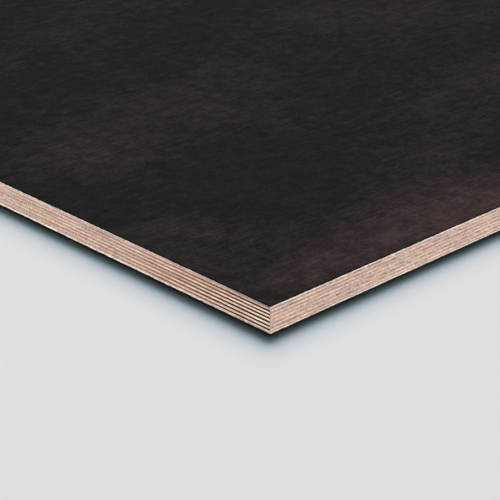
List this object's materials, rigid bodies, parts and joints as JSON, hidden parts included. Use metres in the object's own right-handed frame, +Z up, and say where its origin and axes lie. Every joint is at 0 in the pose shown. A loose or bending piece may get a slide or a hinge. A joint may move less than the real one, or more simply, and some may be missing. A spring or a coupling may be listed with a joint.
{
  "type": "film-faced plywood sheet",
  "caption": "Large flat formwork plywood sheet of crossed birch veneers with a dark resin film on both faces and bare sawn edges.",
  "frame": {"origin": "middle of the underside, on the surface that the sheet lies on", "axes": "+X along the 2500 mm length, which is the grain of the face veneers; +Y across it; +Z up, out of the upper face"},
  "size_m": [2.5, 1.25, 0.021],
  "materials": {
    "birch_veneer": "matte",
    "resin_film": "satin"
  },
  "bodies": {
    "root": {"bottom_film": "resin_film", "veneer_01": "birch_veneer", "veneer_02": "birch_veneer", "veneer_03": "birch_veneer", "veneer_04": "birch_veneer", "veneer_05": "birch_veneer", "veneer_06": "birch_veneer", "veneer_07": "birch_veneer", "veneer_08": "birch_veneer", "veneer_09": "birch_veneer", "veneer_10": "birch_veneer", "veneer_11": "birch_veneer", "veneer_12": "birch_veneer", "veneer_13": "birch_veneer", "veneer_14": "birch_veneer", "veneer_15": "birch_veneer", "top_film": "resin_film"}
  },
  "joints": []
}
